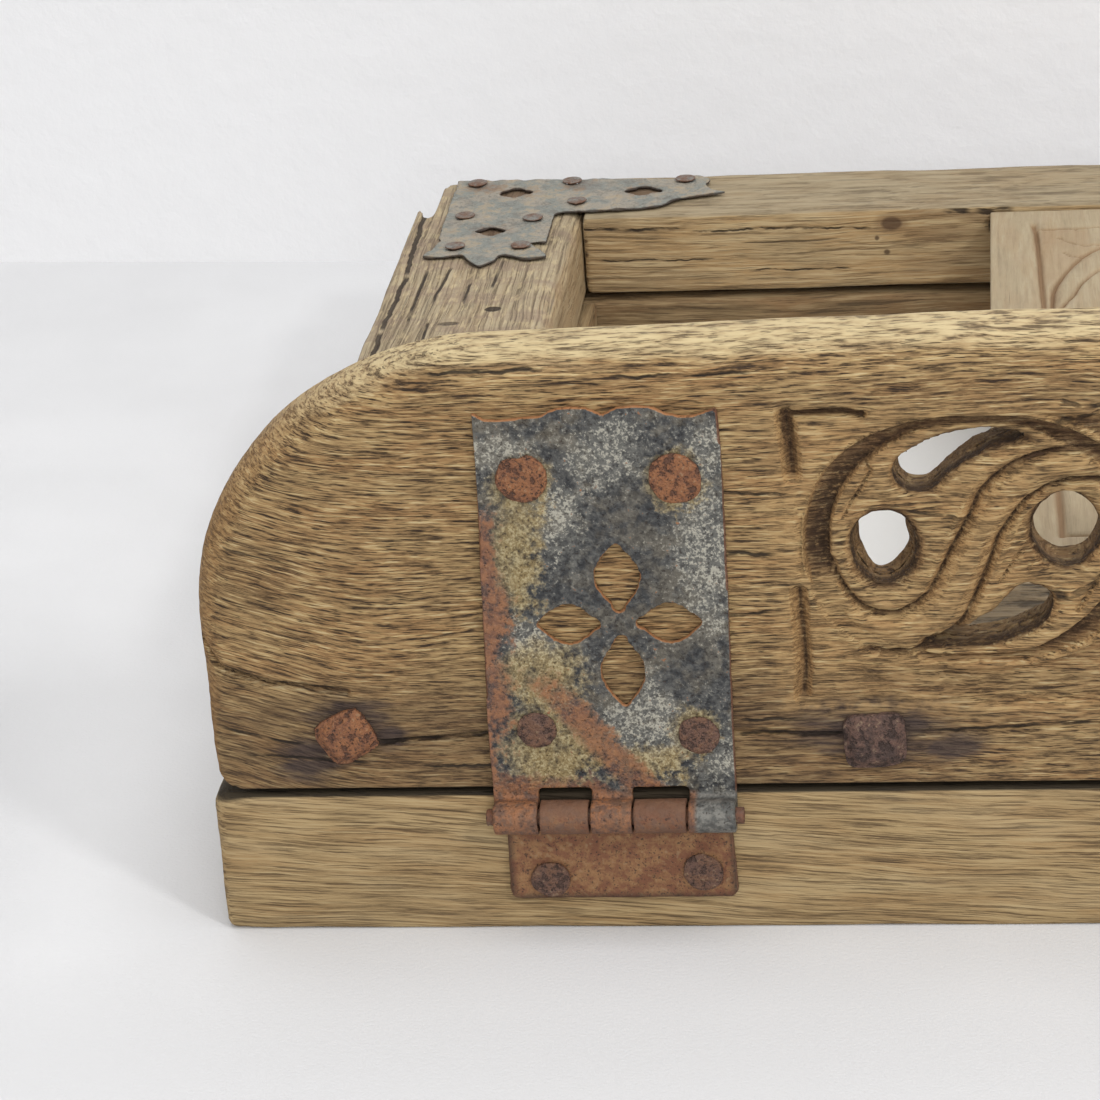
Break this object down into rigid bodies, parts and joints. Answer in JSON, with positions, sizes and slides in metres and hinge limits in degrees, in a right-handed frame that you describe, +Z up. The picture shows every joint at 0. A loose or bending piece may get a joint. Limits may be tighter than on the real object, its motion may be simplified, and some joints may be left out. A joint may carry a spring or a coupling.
{
  "type": "donation box",
  "caption": "Low weathered oak donation box: base frame, tipping lid frame with a pierced tracery front board, carved lid panel with a coin slot, and iron strap hinges.",
  "frame": {"origin": "middle of the overall box on the floor it stands on", "axes": "+X to the right seen from the front, +Y to the back, +Z up; the carved front faces -Y"},
  "size_m": [0.62, 0.4693, 0.1785],
  "materials": {
    "oak_front": "weathered oak, open grain",
    "oak_rails": "weathered pale oak",
    "oak_inner": "plain sawn oak",
    "oak_panel": "carved pale oak",
    "iron_leaf": "tinned iron, mottled and rusty",
    "iron_rust": "rusty forged iron",
    "iron_strap": "worn grey iron with rusty edges",
    "iron_nails": "rusty forged iron"
  },
  "bodies": {
    "base": {"base_front_rail": "oak_rails", "base_back_rail": "oak_rails", "base_left_rail": "oak_rails", "base_right_rail": "oak_rails", "base_pegs": "oak_inner", "coin_box_left_wall": "oak_inner", "coin_box_right_wall": "oak_inner", "coin_box_bottom": "oak_inner", "left_hinge_lower_leaf": "iron_rust", "right_hinge_lower_leaf": "iron_rust", "left_hinge_pin": "iron_rust", "right_hinge_pin": "iron_rust", "left_hinge_lower_nails": "iron_nails", "right_hinge_lower_nails": "iron_nails", "base_lock_eye": "iron_rust", "base_eye_nails": "iron_nails"},
    "lid": {"lid_left_rail": "oak_rails", "lid_right_rail": "oak_rails", "lid_front_rail": "oak_rails", "lid_back_rail": "oak_rails", "lid_pegs": "oak_inner", "tracery_front_board": "oak_front", "carved_lid_panel": "oak_panel", "front_board_nails": "iron_nails", "left_hinge_upper_leaf": "iron_leaf", "right_hinge_upper_leaf": "iron_leaf", "left_hinge_upper_nails": "iron_nails", "right_hinge_upper_nails": "iron_nails", "back_left_corner_strap": "iron_strap", "back_right_corner_strap": "iron_strap", "left_strap_nails": "iron_nails", "right_strap_nails": "iron_nails", "lid_lock_eye": "iron_rust", "lid_eye_nails": "iron_nails"}
  },
  "joints": [
    {"name": "lid_hinge", "type": "hinge", "parent": "base", "child": "lid", "pos_m": [0, -0.22965, 0.039], "axis": [1, 0, 0], "range_deg": [0, 105]}
  ]
}
